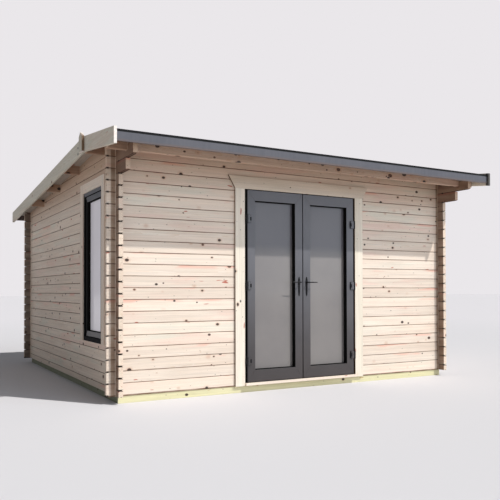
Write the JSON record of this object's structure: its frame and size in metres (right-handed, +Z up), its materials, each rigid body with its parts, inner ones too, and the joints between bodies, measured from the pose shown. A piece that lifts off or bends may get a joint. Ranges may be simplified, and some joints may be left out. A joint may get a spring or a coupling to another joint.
{
  "type": "log cabin",
  "caption": "Square timber log cabin with off-centre ridge, deep front overhang on corbelled logs, glazed double doors and a tall side window.",
  "frame": {"origin": "on the ground under the middle of the roof's plan", "axes": "+Z up, the door front faces -Y, +X to the right seen from the front"},
  "size_m": [4.7466, 5.11, 2.65],
  "materials": {
    "log_wood": "planed spruce logs, bare",
    "trim_wood": "planed spruce boards, bare",
    "board_wood": "tongued spruce boards",
    "treated_timber": "green pressure-treated softwood",
    "roof_sheet": "single-ply roof covering, matt",
    "edge_metal": "black coated aluminium",
    "fascia_paint": "anthracite coated, satin",
    "upvc": "anthracite foiled profile, satin",
    "pane": "obscured double glazing",
    "black_metal": "black powder coat"
  },
  "bodies": {
    "cabin": {"base_bearers": "treated_timber", "floor_joists": "treated_timber", "floor_boards": "board_wood", "front_wall_left": "log_wood", "front_wall_right": "log_wood", "front_wall_head": "log_wood", "back_wall": "log_wood", "right_wall": "log_wood", "left_wall_sill": "log_wood", "left_wall_front": "log_wood", "left_wall_rear": "log_wood", "left_wall_head": "log_wood", "left_gable_logs": "log_wood", "right_gable_logs": "log_wood", "front_purlin": "log_wood", "ridge_purlin": "log_wood", "rear_purlins": "log_wood", "roof_boards_front": "board_wood", "roof_boards_rear": "board_wood", "roof_covering": "roof_sheet", "roof_edge_trims": "edge_metal", "front_fascia": "fascia_paint", "rear_fascia": "fascia_paint", "left_bargeboards": "trim_wood", "right_bargeboards": "trim_wood", "apex_covers": "trim_wood", "door_frame": "upvc", "door_trim": "trim_wood", "door_sill": "trim_wood", "door_hinge_pins": "black_metal", "window_frame": "upvc", "window_sash": "upvc", "window_glass": "pane", "window_trim": "trim_wood"},
    "left_door": {"left_door_leaf": "upvc", "left_door_glass": "pane", "left_door_hinges": "black_metal", "left_handle_plates": "black_metal"},
    "right_door": {"right_door_leaf": "upvc", "right_door_glass": "pane", "right_door_hinges": "black_metal", "right_handle_plates": "black_metal"},
    "left_lever": {"left_lever": "black_metal"},
    "right_lever": {"right_lever": "black_metal"}
  },
  "joints": [
    {"name": "left_door_hinge", "type": "hinge", "parent": "cabin", "child": "left_door", "pos_m": [-0.722, -1.974, 1.13], "axis": [0, 0, -1], "range_deg": [0, 110]},
    {"name": "right_door_hinge", "type": "hinge", "parent": "cabin", "child": "right_door", "pos_m": [0.722, -1.974, 1.13], "axis": [0, 0, 1], "range_deg": [0, 110]},
    {"name": "left_lever_turn", "type": "hinge", "parent": "left_door", "child": "left_lever", "pos_m": [-0.05, -2.015, 1.168], "axis": [0, -1, 0], "range_deg": [0, 40], "stiffness_Nm_per_rad": 1.2, "springref_deg": -28.65},
    {"name": "right_lever_turn", "type": "hinge", "parent": "right_door", "child": "right_lever", "pos_m": [0.05, -2.015, 1.168], "axis": [0, 1, 0], "range_deg": [0, 40], "stiffness_Nm_per_rad": 1.2, "springref_deg": -28.65}
  ]
}
